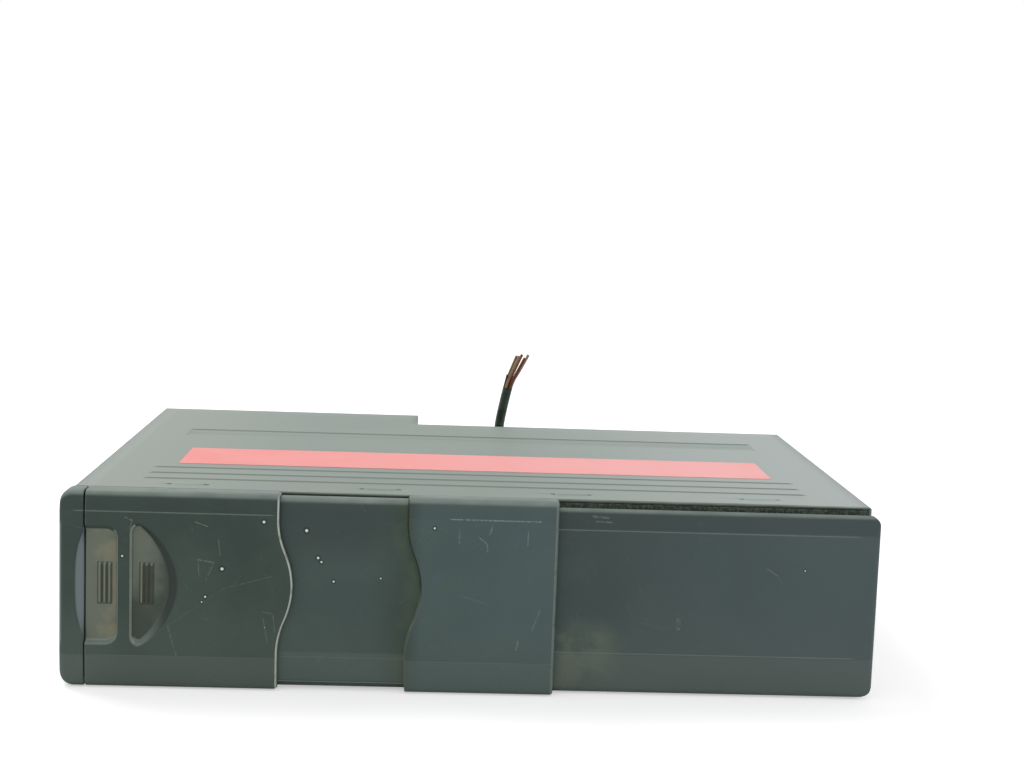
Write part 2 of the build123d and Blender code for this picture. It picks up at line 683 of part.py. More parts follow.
sled_x = (70.0, 87.6)
lens_x = play_x + 23.0
sled_z = (8.0, 14.6)
pickup_sled = block(sled_x, (disc_y - 24, disc_y + 31), sled_z)
pickup_sled -= pillar(play_x, disc_y, (0, 30), motor_radius + 0.6)
for y in (disc_y - rod_half, disc_y + rod_half):
    pickup_sled -= bar_x((60, 100), y, rod_level, rod_radius + shaft_gap)
pickup_sled -= bar_x((60, 100), screw_line, rod_level, rod_radius + shaft_gap)
save(pickup_sled, "pickup_sled")
pickup_lens = pillar(lens_x, disc_y, (sled_z[1], sled_z[1] + 1.2), 3.6)
lens_glass = Pos(lens_x, disc_y, sled_z[1] - 2.4) * Sphere(4.4)
pickup_lens += lens_glass & pillar(lens_x, disc_y, (sled_z[1] + 1.0, sled_z[1] + 3), 2.4)
save(pickup_lens, "pickup_lens")

sled_rods = Part()
for y in (disc_y - rod_half, disc_y + rod_half):
    sled_rods += bar_x((68.0, end_x[0]), y, rod_level, rod_radius)
save(sled_rods, "sled_rods")
sled_screw = bar_x((62.0, end_x[1] - 0.2), screw_line, rod_level, rod_radius)
sled_lead = 3.0
for turn in range(16):
    groove_x = (70 + turn * sled_lead, 70.5 + turn * sled_lead)
    sled_screw -= bar_x(groove_x, screw_line, rod_level, 2) - bar_x(groove_x, screw_line, rod_level, 1)
save(sled_screw, "sled_screw")
sled_motor = bar_x((48.0, 66.0), screw_line, rod_level, rod_level - deck_top - slip_gap)
sled_motor -= bar_x((61.0, 67.0), screw_line, rod_level, rod_radius + shaft_gap)
save(sled_motor, "sled_motor")

# lift: a long screw turned by a gear and pinion, and a plain post
frame_floor = play_floor + frame_sheet
lift_screw = pillar(lift_x, screw_y, (frame_floor + 0.1, frame_high + 0.9), post_radius)


def gear(x, y, radius, teeth):
    """A small moulded spur gear."""
    wheel = pillar(x, y, (gear_low, gear_high), radius)
    for number in range(teeth):
        angle = 360 / teeth * number
        gap = Pos(x, y) * Rot(0, 0, angle) * Pos(radius, 0, (gear_low + gear_high) / 2)
        wheel -= gap * Box(1.2, pi * radius / teeth * 0.9, gear_high - gear_low + 2)
    return wheel


lift_screw += gear(lift_x, screw_y, lift_gear_radius, 28)
for turn in range(9):
    z = 19.0 + turn * 4.0
    ring = pillar(lift_x, screw_y, (z, z + 0.8), 3) - pillar(lift_x, screw_y, (z, z + 0.8), 1.7)
    lift_screw -= ring
save(lift_screw, "lift_screw")
pinion_y = screw_y - lift_gear_radius - pinion_radius - mesh_gap
lift_pinion = gear(lift_x, pinion_y, pinion_radius, 12)
lift_pinion += pillar(lift_x, pinion_y, (frame_floor + 0.9, gear_low + 1), spindle_radius)
save(lift_pinion, "lift_pinion")
lift_motor = pillar(lift_x, pinion_y, (frame_floor, gear_low - 0.4), 7.4)
lift_motor -= pillar(lift_x, pinion_y, (frame_floor + 0.6, gear_low), spindle_radius + shaft_gap)
save(lift_motor, "lift_motor")
save(pillar(lift_x, post_y, (frame_floor, frame_high), post_radius), "guide_post")

# ---------------------------------------------------------------- electronics
board_low = 5.0
board_thick = 1.6
board_z = (board_low, board_low + board_thick)
main_y = (front + 18, case_rear_right - 9.1)
neck_y = (main_y[1] - 1, main_y[1] + 9)
main_board = block((-108, -6), main_y, board_z)
main_board += block((-108, step_x - 4.5), neck_y, board_z)
main_board += block((6 - case_half, step_x - 4.5), (neck_y[1] - 0.5, case_rear - 10.6), board_z)
board_fix = [(-103, main_y[0] + 6), (-12, main_y[0] + 6), (-103, main_y[1] - 10)]
board_fix += [(step_x - 8.5, case_rear - 16.6), (10 - case_half, case_rear - 16.6)]
board_screws = Part()
for x, y in board_fix:
    main_board -= pillar(x, y, (0, 20), 1.4)
    bottom_chassis += pillar(x, y, (case_sheet - 0.2, board_low), 3)
    bottom_chassis -= pillar(x, y, (case_sheet, board_low + 1), 1.4)
    board_screws += pillar(x, y, (case_sheet + 0.5, board_low + board_thick), 1.3)
    board_screws += pillar(x, y, (board_low + board_thick, board_low + board_thick + 1.4), 2.6)
save(main_board, "main_board")
save(board_screws, "board_screws")
board_top = board_low + board_thick
chips = [
    (-80, 60, 14, 14, 1.6),
    (-50, 52, 20, 14, 2.2),
    (-48, 100, 12, 18, 2.2),
    (-84, 100, 10, 10, 1.6),
    (-24, 70, 8, 24, 6.0),
    (-24, 116, 8, 18, 6.0),
    (-46, depth - 15.5, 20, 3, 28),
]
cans = [(-96, depth - 15, 6.3, 22), (-80, depth - 15, 5, 16), (-66, depth - 14, 5, 16)]
cans.append((-94, 124, 3.2, 7))
board_parts = Part()
for x, back, wide, long, tall in chips:
    chip_y = (front + back - long / 2, front + back + long / 2)
    board_parts += block((x - wide / 2, x + wide / 2), chip_y, (board_top, board_top + tall))
for x, back, radius, tall in cans:
    board_parts += pillar(x, front + back, (board_top, board_top + tall), radius)
save(board_parts, "board_parts")

# ---------------------------------------------------------------- wiring stub
socket_y = (case_rear_right - 13.1, case_rear_right)
socket_half = (10.5, 9.0)
socket_cut_x = (socket_x - 9.0, socket_x + 9.0)
socket_cut_z = (socket_z - 7.5, socket_z + 7.5)
socket_cut = block(socket_cut_x, (socket_y[0] + 4, socket_y[1] + 5), socket_cut_z)
rear_socket = block(
    (socket_x - socket_half[0], socket_x + socket_half[0]),
    (socket_y[0], case_rear_right - case_sheet),
    (socket_z - socket_half[1], socket_z + socket_half[1]),
)
rear_socket -= socket_cut
save(rear_socket, "rear_socket")
bottom_chassis -= socket_cut
save(bottom_chassis, "bottom_chassis")
plug_y = (socket_y[0] + 6, case_rear_right + 6)
harness_plug = block((socket_x - 8.6, socket_x + 8.6), plug_y, (socket_z - 7.1, socket_z + 7.1))
plug_edges = [e for e in harness_plug.edges() if abs(e.center().Y - plug_y[1]) < 1e-3]
harness_plug = chamfer(plug_edges, 1.2)
harness_plug += bar_y(socket_x, (plug_y[1], plug_y[1] + 3), socket_z, 3.2)
save(harness_plug, "harness_plug")


def tube(route, radius):
    """A wire along straight runs joined by the largest arcs that fit."""
    points = [Vector(*p) for p in route]
    bends = []
    for before, here, after in zip(points, points[1:], points[2:]):
        first = here - before
        second = after - here
        turn = radians(first.get_angle(second))
        bends.append(0.45 * min(first.length, second.length) / tan(turn / 2))
    path = FilletPolyline(*points, radius=bends)
    start = Plane(origin=points[0], z_dir=points[1] - points[0])
    shape = sweep(start * Circle(radius), path=path)
    error = shape.volume / (pi * radius**2 * path.length) - 1
    print(f"wire: length {path.length:.1f}, radii {[round(b, 1) for b in bends]}, volume off {error:.4f}")
    return shape


sleeve_start = plug_y[1] + 3
sleeve_route = [
    (socket_x, sleeve_start, socket_z),
    (socket_x, sleeve_start + 11, socket_z),
    (socket_x - 0.4, sleeve_start + 18, socket_z + 12),
    (socket_x - 0.6, sleeve_start + 16, socket_z + 27),
    (socket_x + 0.8, sleeve_start + 11, socket_z + 38),
    (socket_x + 2.6, sleeve_start + 8, socket_z + 47),
]
save(tube(sleeve_route, sleeve_radius), "harness_sleeve")

wire_ends = [
    ((-0.9, -0.9), (2.4, -2.4, 8.0), (4.4, -4.0, 16.0)),
    ((0.7, -1.1), (4.6, -3.0, 7.2), (8.8, -3.6, 14.6)),
    ((1.25, 0.3), (6.0, -0.6, 7.4), (10.4, -1.6, 16.4)),
    ((0.1, 1.2), (4.0, 1.6, 7.6), (7.2, 0.6, 15.0)),
    ((-1.2, 0.5), (1.4, 1.2, 8.4), (2.2, 0.4, 14.0)),
]
end = Vector(*sleeve_route[-1])
heading = (end - Vector(*sleeve_route[-2])).normalized()
end_plane = Plane(origin=end, x_dir=(1, 0, 0), z_dir=heading)
harness_wires = Part()
for (across, along), middle, tip in wire_ends:
    start = end_plane.from_local_coords(Vector(across, along, 0))
    bend = start + heading * 2.5
    route = [start, bend, start + Vector(*middle), start + Vector(*tip)]
    harness_wires += tube([tuple(p) for p in route], wire_radius)
save(harness_wires, "harness_wires")
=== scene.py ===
"""A six-disc changer for a car boot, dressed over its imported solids."""
from functools import reduce
from math import acos, atan2, cos, hypot, pi, radians, sin, sqrt

import bpy
from mathutils import Matrix, Vector


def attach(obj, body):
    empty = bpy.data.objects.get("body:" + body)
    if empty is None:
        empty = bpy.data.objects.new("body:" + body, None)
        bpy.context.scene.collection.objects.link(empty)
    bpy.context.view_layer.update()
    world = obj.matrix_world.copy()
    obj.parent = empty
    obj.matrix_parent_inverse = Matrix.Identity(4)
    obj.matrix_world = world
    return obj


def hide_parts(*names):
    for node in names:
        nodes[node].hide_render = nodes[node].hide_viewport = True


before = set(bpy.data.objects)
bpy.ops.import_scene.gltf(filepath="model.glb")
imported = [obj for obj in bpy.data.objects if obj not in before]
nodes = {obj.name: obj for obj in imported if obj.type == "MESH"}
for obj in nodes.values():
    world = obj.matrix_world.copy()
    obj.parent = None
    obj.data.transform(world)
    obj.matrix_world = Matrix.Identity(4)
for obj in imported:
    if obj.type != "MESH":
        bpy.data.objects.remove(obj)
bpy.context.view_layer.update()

# ------------------------------------------------------------------ viewpoint
# The photograph looks at the front from half a metre, a little left of the
# middle and just above the lid. Lens, height and lean come from its corners.
MM = 0.001
FACE = -92.5  # the plane of the door faces, in millimetres


def spot(x, y, z):
    """A point in millimetres, with y counted back from the door faces."""
    return Vector((x, y + FACE, z)) * MM


pitch, yaw, roll = radians(7.2), radians(2.6), radians(2.04)
ahead = Vector((sin(yaw) * cos(pitch), cos(yaw) * cos(pitch), -sin(pitch)))
level = Vector((cos(yaw), -sin(yaw), 0))
upward = level.cross(ahead)
across = level * cos(roll) + upward * sin(roll)
over = upward * cos(roll) - level * sin(roll)
lens = bpy.data.cameras.new("viewpoint")
lens.sensor_width = 36
lens.lens = 57.95
lens.clip_start = 0.01
viewpoint = bpy.data.objects.new("viewpoint", lens)
stance = Matrix((across, over, -ahead)).transposed().to_4x4()
stance.translation = spot(-13.64, -514.4, 166.7)
viewpoint.matrix_world = stance
bpy.context.scene.collection.objects.link(viewpoint)
bpy.context.scene.camera = viewpoint
bpy.context.scene.view_settings.view_transform = "Standard"

# -------------------------------------------------------------- wiring pigtail
# A short bundle of cut wires in a dark green sleeve stands up behind the lid.
# The sleeve leaves a black plug in the rear socket, and the wires end bare.
SLEEVE_RADIUS = 2.0
WIRE_RADIUS = 0.6


class Strand:
    """One socket of a material's nodes. Sums on it add the nodes that work them out."""

    def __init__(self, tree, socket):
        self.tree = tree
        self.socket = socket

    def put(self, kind, settings=None, feeds=None, out=0):
        """Any other node: its settings first, then the values or links of its sockets."""
        node = self.tree.nodes.new("ShaderNode" + kind)
        for name, value in (settings or {}).items():
            setattr(node, name, value)
        for place, value in (feeds or {}).items():
            if isinstance(value, Strand):
                self.tree.links.new(value.socket, node.inputs[place])
            else:
                node.inputs[place].default_value = value
        return Strand(self.tree, node.outputs[out])

    def work(self, operation, *values):
        """Maths on numbers, or on vectors if one of the values is a vector."""
        kind = "Math"
        if any(isinstance(v, Strand) and v.socket.type == "VECTOR" for v in values):
            kind = "VectorMath"
            values = [(v, v, v) if isinstance(v, (int, float)) else v for v in values]
        measured = operation in ("DOT_PRODUCT", "DISTANCE")
        return self.put(kind, {"operation": operation}, dict(enumerate(values)), int(measured))

    def __add__(self, other):
        return self.work("ADD", self, other)

    def __sub__(self, other):
        return self.work("SUBTRACT", self, other)

    def __mul__(self, other):
        return self.work("MULTIPLY", self, other)

    def __truediv__(self, other):
        return self.work("DIVIDE", self, other)

    def __radd__(self, other):
        return self.work("ADD", other, self)

    def __rsub__(self, other):
        return self.work("SUBTRACT", other, self)

    def __rmul__(self, other):
        return self.work("MULTIPLY", other, self)

    def __abs__(self):
        return self.work("ABSOLUTE", self)

    def rise(self, low, high):
        """0 below low, 1 above high, and a soft step between them."""
        feeds = {"Value": self, "From Min": low, "From Max": high}
        return self.put("MapRange", {"interpolation_type": "SMOOTHSTEP"}, feeds)

    def band(self, low, high, soft):
        """1 between low and high, with soft sides."""
        return self.rise(low - soft, low) * (1 - self.rise(high, high + soft))

    def most(self, other):
        """The larger of the two."""
        return self.work("MAXIMUM", self, other)

    def parts(self):
        """The three parts of a vector."""
        split = self.put("SeparateXYZ", feeds={0: self})
        return [Strand(self.tree, output) for output in split.socket.node.outputs]

    def noise(self, scale, detail=3.0, stretch=(1, 1, 1)):
        """Cloudy noise, scale to the millimetre, drawn out along the smaller stretches."""
        return self.put("TexNoise", feeds={"Vector": self * stretch, "Scale": scale, "Detail": detail})

    def mix(self, under, upper):
        """This strand as the share of the upper colour over the under one."""
        return self.put("Mix", {"data_type": "RGBA"}, {0: self, 6: under, 7: upper}, out=2)


def paint(red, green, blue):
    """A screen colour from 0 to 255 as the shader wants it."""
    shares = [channel / 255 for channel in (red, green, blue)]
    return (*[s / 12.92 if s <= 0.04045 else ((s + 0.055) / 1.055) ** 2.4 for s in shares], 1)


def finish_for(name):
    """A new material, and its object coordinates in millimetres, y from the door faces."""
    material = bpy.data.materials.new(name)
    material.use_nodes = True
    tree = material.node_tree
    place = Strand(tree, None).put("TexCoord", out="Object")
    return material, place * 1000 - (0, FACE, 0)


def lay_on(material, colour, roughness, metallic=0.0, relief=None, height=0.05, **fixed):
    """Feeds the shader, with the relief in millimetres and the rest as fixed values."""
    shader = material.node_tree.nodes["Principled BSDF"]
    strand = Strand(material.node_tree, None)
    feeds = {"Base Color": colour, "Roughness": roughness, "Metallic": metallic}
    if relief is not None:
        feeds["Normal"] = strand.put("Bump", feeds={"Distance": height * MM, "Height": relief})
    for socket, value in feeds.items():
        if isinstance(value, Strand):
            material.node_tree.links.new(value.socket, shader.inputs[socket])
        else:
            shader.inputs[socket].default_value = value
    for socket, value in fixed.items():
        shader.inputs[socket.replace("_", " ")].default_value = value
    return material


def dress(material, *names):
    """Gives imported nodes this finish."""
    for name in names:
        nodes[name].data.materials.clear()
        nodes[name].data.materials.append(material)


def grained(name, dark, light, scale, roughness, metallic=0.0, height=0.02, stretch=(1, 1, 1), **more):
    """A finish of two near colours in clouds, with a fine relief of its own."""
    material, here = finish_for(name)
    clouds = here.noise(scale * 0.12, 4, stretch)
    grain = here.noise(scale, 3, stretch)
    colour = (clouds * 0.7 + grain * 0.3).rise(0.36, 0.64).mix(paint(*dark), paint(*light))
    rough = roughness + (grain - 0.5) * 0.16 + (clouds - 0.5) * 0.1
    return lay_on(material, colour, rough, metallic, grain, height, **more)


def lead(name, points, radius, material):
    """A cord along a smooth line drawn by its points, with its radius in millimetres."""
    curve = bpy.data.curves.new(name, "CURVE")
    curve.dimensions = "3D"
    line = curve.splines.new("NURBS")
    line.points.add(len(points) - 1)
    for place, point in zip(line.points, points):
        place.co = (*point, 1)
    line.order_u = 3
    line.use_endpoint_u = True
    line.resolution_u = 12
    curve.bevel_depth = radius * MM
    curve.bevel_resolution = 5
    curve.use_fill_caps = True
    curve.materials.append(material)
    piece = bpy.data.objects.new(name, curve)
    bpy.context.scene.collection.objects.link(piece)
    return piece


sleeve_route = [
    spot(13.4, 168.1, 31),
    spot(13.4, 179.1, 31),
    spot(13.0, 186.1, 43),
    spot(12.8, 184.1, 58),
    spot(14.2, 179.1, 69),
    spot(16.0, 176.1, 78),
]
sleeve_vinyl = grained("sleeve_vinyl", (24, 42, 32), (62, 76, 62), 0.9, 0.42, height=0.1)
sleeve = lead("wiring_sleeve", sleeve_route, SLEEVE_RADIUS, sleeve_vinyl)
heading = (sleeve_route[-1] - sleeve_route[-2]).normalized()
side = Vector((0, 1, 0)).cross(heading).normalized()
depthwise = heading.cross(side)
# each wire's colour, its place in the sleeve, its bend and its tip
wire_kinds = [
    ("wire_tan", (176, 140, 108), (-0.9, -0.9), (2.5, -1.2, 7.0), (5.2, -2.4, 13.8)),
    ("wire_brown", (112, 62, 38), (0.7, -1.1), (2.8, -1.5, 6.8), (5.9, -2.8, 13.4)),
    ("wire_cream", (190, 152, 120), (1.25, 0.3), (3.3, -0.6, 6.8), (6.9, -1.4, 14.2)),
    ("wire_rose", (160, 92, 86), (0.1, 1.2), (2.5, 0.0, 6.8), (5.4, -0.4, 13.6)),
    ("wire_olive", (132, 116, 66), (-1.2, 0.5), (2.2, 0.3, 7.0), (4.5, -0.6, 13.0)),
]
wires = []
for name, tint, (right, back), bend, tip in wire_kinds:
    start = sleeve_route[-1] + side * right * MM + depthwise * back * MM
    route = [start - heading * 6 * MM, start + heading * 2.5 * MM]
    route += [start + Vector(bend) * MM, start + Vector(tip) * MM]
    dull = tuple(channel * 0.78 for channel in tint)
    vinyl = grained(name + "_vinyl", dull, tint, 1.6, 0.45, height=0.03)
    wires.append(lead(name, route, WIRE_RADIUS, vinyl))
    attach(wires[-1], "root")
flap_base = sleeve_route[-1] - side * 1.35 * MM
flap = [flap_base - heading * 3 * MM, flap_base + heading * 2 * MM, flap_base + heading * 5.5 * MM]
wires.append(lead("sleeve_flap", flap, WIRE_RADIUS, sleeve_vinyl))
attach(wires[-1], "root")
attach(sleeve, "root")
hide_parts("harness_sleeve")
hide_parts("harness_wires")
dress(grained("plug_nylon", (20, 21, 20), (40, 41, 39), 1.2, 0.5), "harness_plug", "rear_socket")

# ------------------------------------------------------------- sheet-steel tub
# The tub is zinc-plated sheet, folded up from one blank, with a stepped rear.
# It has gone dull and a little green, and carries faint rolling lines.
tub_zinc, here = finish_for("tub_zinc")
rolled = here.noise(0.5, 4, (0.05, 1, 1))
stain = here.noise(0.035, 5)
colour = rolled.rise(0.3, 0.7).mix(paint(126, 134, 128), paint(150, 157, 151))
colour = (stain.rise(0.52, 0.72) * 0.6).mix(colour, paint(96, 104, 92))
lay_on(tub_zinc, colour, 0.4 + stain * 0.25, 0.75, rolled, 0.02)
dress(tub_zinc, "bottom_chassis")

# ------------------------------------------------------------------- top cover
# One sheet of steel, folded down at both sides and the rear, painted grey-green.
# Long beads stiffen it, and four lanced bridges over slots hold the front.
COVER_TOP = 63.6
COVER_EDGE = 8.2
REAR_LEFT = 185.0
REAR_RIGHT = 160.0
STEP = -21.5
COVER_HALF = 128.9
LIP = 19.0
COVER_FOLD = 1.0
COVER_STOCK = 0.7


def ladder(*spans):
    """Places along an axis: each span is its start, its end and a step that fits in it."""
    places = []
    for low, high, step in spans:
        count = max(1, round((high - low) / step))
        places += [low + (high - low) * n / count for n in range(count)]
    return places + [spans[-1][1]]


def sheet_mesh(name, columns, rows, surface, holes=()):
    """Quads over columns and rows, each corner placed by surface; holes are left open."""
    corners = [surface(c, r) for r in rows for c in columns]
    wide = len(columns)
    quads = []
    for r in range(len(rows) - 1):
        for c in range(wide - 1):
            middle = ((columns[c] + columns[c + 1]) / 2, (rows[r] + rows[r + 1]) / 2)
            if any(a < middle[0] < b and d < middle[1] < e for a, b, d, e in holes):
                continue
            start = r * wide + c
            quads.append((start, start + 1, start + 1 + wide, start + wide))
    mesh = bpy.data.meshes.new(name)
    mesh.from_pydata(corners, [], quads)
    return mesh


def placed(name, mesh, material, body, slot, *stands_for):
    """Puts a mesh in the scene on its body, in place of the nodes that it stands for."""
    loose = bpy.data.objects.new(name, mesh)
    mesh.materials.append(material)
    mesh.polygons.foreach_set("use_smooth", [True] * len(mesh.polygons))
    bpy.context.scene.collection.objects.link(loose)
    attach(loose, body)
    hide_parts(*stands_for)
    return loose


def thicken(sheet, thickness):
    """Gives a sheet its stock, on the side away from its outer face."""
    stock = sheet.modifiers.new("stock", "SOLIDIFY")
    stock.thickness = thickness * MM
    stock.offset = -1


def swell(distance, half):
    """A rounded ridge across its width: 1 on its middle and 0 past its half width."""
    return (1 + cos(pi * distance / half)) / 2 if abs(distance) < half else 0.0


def step_up(value, low, high):
    """0 below low, 1 above high, and a soft step between them."""
    share = min(1.0, max(0.0, (value - low) / (high - low)))
    return share * share * (3 - 2 * share)


beads = (26.5, 36.5, 47.0)
trough = (117.5, 130.0)
bridges = (-93.6, -31.2, 31.2, 93.6)
BEAD_LIFT = 0.3
BEAD_HALF = 1.5
TROUGH_SINK = 0.35
BRIDGE_LIFT = 0.38


def lid_surface(x, y):
    """The pressed top, with its beads, its trough and the lanced bridges."""
    z = COVER_TOP
    ends = step_up(x, -109.8, -108.2) * (1 - step_up(x, 109.4, 111.0))
    for middle in beads:
        z += BEAD_LIFT * swell(y - middle, BEAD_HALF) * ends
    front, back = [step_up(y, wall - 1, wall + 1) for wall in trough]
    z -= TROUGH_SINK * ends * (front - back)
    for middle in bridges:
        near = 1 - step_up(abs(x - middle), 4.4, 5.4)
        z += BRIDGE_LIFT * near * (step_up(y, 14.6, 15.4) - step_up(y, 17.8, 18.6))
    return spot(x, y, z)


columns = ladder((-127.9, -110, 6), (-110, -108, 0.5), (-108, -100, 4))
for middle in bridges:
    columns += ladder((middle - 6.75, middle - 5.25, 0.75), (middle - 5.25, middle - 4.2, 0.3))
    columns += ladder((middle + 4.2, middle + 5.25, 0.3), (middle + 5.25, middle + 6.75, 0.75))
columns += ladder((-86, -40, 9), (-40, STEP, 6), (STEP, 24, 9), (39, 86, 9), (101, 109, 4))
columns += ladder((109, 111.5, 0.5), (111.5, 127.9, 5))
columns = sorted(set(round(c, 3) for c in columns))
rows = ladder((COVER_EDGE, 9.4, 0.4), (9.4, 14.4, 2.5), (14.4, 15.6, 0.3), (15.6, 17.4, 0.6))
rows += ladder((17.4, 18.8, 0.35), (18.8, 24.8, 3), (24.8, 28.2, 0.425), (28.2, 34.8, 3.3))
rows += ladder((34.8, 38.2, 0.425), (38.2, 45.3, 3.5), (45.3, 48.7, 0.425), (48.7, 115.5, 8))
rows += ladder((115.5, 119.5, 0.5), (119.5, 128, 4), (128, 132, 0.5), (132, REAR_RIGHT - 1, 7))
rows += ladder((REAR_RIGHT - 1, REAR_LEFT - 1, 6))
rows = sorted(set(round(r, 3) for r in rows))
slots = [(m + s * 6.0 - 0.75, m + s * 6.0 + 0.75, 15.6, 17.4) for m in bridges for s in (-1, 1)]
lid = sheet_mesh("lid", columns, rows, lid_surface, [(STEP + 0.01, 200, REAR_RIGHT - 1, 200), *slots])

# the folded rim: the top's border drawn round a small bend and down into lips
border = [(-COVER_HALF, COVER_EDGE), (-COVER_HALF, REAR_LEFT), (STEP, REAR_LEFT), (STEP, REAR_RIGHT)]
border += [(COVER_HALF, REAR_RIGHT), (COVER_HALF, COVER_EDGE)]
rim_corners = []
rim_quads = []
for (x0, y0), (x1, y1) in zip(border, border[1:]):
    outward = Vector((y1 - y0, x0 - x1, 0)).normalized() * -1
    base = len(rim_corners)
    bend = [a * pi / 12 for a in range(7)]
    profile = [(COVER_FOLD * (1 - sin(a)), COVER_FOLD * (1 - cos(a))) for a in bend]
    profile.append((0.0, LIP))
    for inset, drop in profile:
        for x, y, trim in ((x0, y0, 1), (x1, y1, -1)):
            along = Vector((x1 - x0, y1 - y0, 0)).normalized() * trim
            inner = Vector((x, y, 0)) - outward * inset
            at_front = abs(y - COVER_EDGE) < 0.01
            inner += along * (0 if at_front else inset)
            rim_corners.append(spot(inner.x, inner.y, COVER_TOP - drop))
    for n in range(len(profile) - 1):
        start = base + n * 2
        rim_quads.append((start, start + 1, start + 3, start + 2))
rim = bpy.data.meshes.new("lid_rim")
rim.from_pydata(rim_corners, [], rim_quads)

lid_paint, here = finish_for("lid_paint")
x, y, _ = here.parts()
film = here.noise(0.02, 5)
brushed = here.noise(0.9, 3, (0.04, 1, 1))
colour = film.rise(0.3, 0.7).mix(paint(132, 144, 136), paint(142, 153, 145))
# painted sheen: the lid is painted lighter towards its left end and more so towards its right end
colour = ((1 - x.rise(-130, -50)) * 0.75).mix(colour, paint(152, 160, 153))
colour = (x.rise(-10, 130) * 0.9).mix(colour, paint(170, 179, 176))
colour = (film.rise(0.5, 0.75) * (1 - y.rise(10, 60)) * 0.35).mix(colour, paint(132, 142, 124))
inside = x.band(-109.4, 110.6, 0.8)
# painted shade: the pressed trough is painted darker
pressed = y.band(117.2, 130.2, 0.8) * inside
colour = (pressed * 0.5).mix(colour, paint(134, 147, 139))
# painted shade: dark lines painted along the beads and the trough
lines = y.band(25.2, 25.9, 0.25).most(y.band(35.2, 35.9, 0.25)).most(y.band(45.7, 46.4, 0.25))
lines = lines.most(y.band(116.7, 117.6, 0.3)).most(y.band(130.0, 130.8, 0.3)).most(y.band(123.6, 123.9, 0.2))
colour = (lines * inside * (0.5 + film * 0.4)).mix(colour, paint(84, 96, 88))
# painted shade: a broken dark band along the top's front edge
colour = (y.band(8, 8.9, 0.3) * brushed.rise(0.3, 0.7)).mix(colour, paint(96, 106, 92))
lay_on(lid_paint, colour, 0.42 + film * 0.2 + brushed * 0.08, 0.2, brushed, 0.015)
top = placed("lid_top", lid, lid_paint, "root", "case_steel", "top_cover")
side_lips = placed("lid_lips", rim, lid_paint, "root", "case_steel")
thicken(top, COVER_STOCK)
thicken(side_lips, COVER_STOCK)

# the plain strip on the cover is thin salmon-coloured vinyl, stuck down by hand
strip_vinyl, here = finish_for("strip_vinyl")
x, y, _ = here.parts()
blotch = here.noise(0.05, 4)
# painted sheen: the strip is painted lighter towards the right
colour = x.rise(-110, 105).mix(paint(252, 150, 146), paint(255, 180, 178))
colour = (blotch.rise(0.4, 0.7) * 0.5).mix(colour, paint(255, 168, 162))
rubbed = here.noise(0.3, 5, (0.3, 1, 1)).rise(0.5, 0.7) * (1 - y.band(55.6, 85.2, 0.8))
colour = (rubbed * 0.6).mix(colour, paint(214, 158, 152))
lay_on(strip_vinyl, colour, 0.5 + blotch * 0.1, 0.0, blotch, 0.05)
dress(strip_vinyl, "red_strip")

# ------------------------------------------------------------------ door faces
# The doors, the end cap and the fixed panel are moulded in dark grey-green
# plastic with a fine grain, now scratched and dusty along edges. Painted light
# and shade lie on the faces, and the pale rims and creases are painted highlights,
# partly broken up by wear.
HEIGHT = 64.0
BASE = 0.15
CREASE_HIGH = 57.5
CREASE_LOW = 10.9
LEAN = 0.6
CORNER = 2.2
OUTER_END = -131.7
CAP_RIGHT = -123.7
LEADING_LEFT = -123.4
LEADING_RIGHT = -62.4
FOLLOWER_STEP = -21.8
FOLLOWER_RIGHT = 26.4
BULGE = 4.6
BULGE_MIDDLE = 34.2
BULGE_REACH = 22.0
RECESS_DEPTH = 1.7
RIB_HEIGHT = 0.8
RIB_HALF = 0.55
RIB_PITCH = 1.55
DOOR_STOCK = 0.65
CAP_STOCK = 0.9
CAP_BACK = 7.9
PAST_EDGE = 0.001  # an edge's last column stands this far past it, and turns in


def leaning(face, crease, edge, back):
    """Points and normals from the back edge round the corner to a crease."""
    way = 1 if edge > crease else -1
    drop = abs(edge - crease)
    centre = face + LEAN + CORNER * (hypot(LEAN, drop) - LEAN) / drop
    if back > centre:
        first = pi / 2
        points = [((back, edge), (0.3, way)), ((back * 0.6 + centre * 0.4, edge), (0, way))]
    else:
        first = acos((back - centre) / CORNER)
        cut = edge - way * CORNER * (1 - sin(first))
        points = [((back, cut - way * 0.6), (1, 0)), ((back, cut - way * 0.3), (1, 0))]
    last = pi - atan2(LEAN, drop)
    for n in range(7):
        angle = first + (last - first) * n / 6
        normal = (cos(angle), way * sin(angle))
        points.append(((centre + CORNER * normal[0], edge - way * CORNER + CORNER * normal[1]), normal))
    points.append(((face + LEAN * 0.45, crease + way * drop * 0.45), (-1, 0.09 * way)))
    points.append(((face + 0.05, crease + way * 0.5), (-1, 0.06 * way)))
    return points


def section(face, inset, ends, backs, lip, steps):
    """The outline from the lower edge over the face to the upper lip, with its normals.

    ends draw the top and the bottom in, and backs are how far each reaches back.
    """
    high = CREASE_HIGH - inset
    low = CREASE_LOW + inset
    upper = leaning(face, high, HEIGHT - ends[0], backs[0])
    lower = leaning(face, low, BASE + ends[1], backs[1])
    heights = [low + 0.5 + (high - low - 1) * share for share in steps]
    lips = [((backs[0], HEIGHT - ends[0] - lip * share), (0.6, 0.8)) for share in (0.4, 1)] if lip else []
    return lower + [((face, z), (-1, 0)) for z in heights] + upper[::-1] + lips


def swelling(z):
    """How far the door edges bulge to the right at a height."""
    off = min(1.0, abs(z - BULGE_MIDDLE) / BULGE_REACH)
    return BULGE * (1 - 2 * off * off if off < 0.5 else 2 * (1 - off) ** 2)


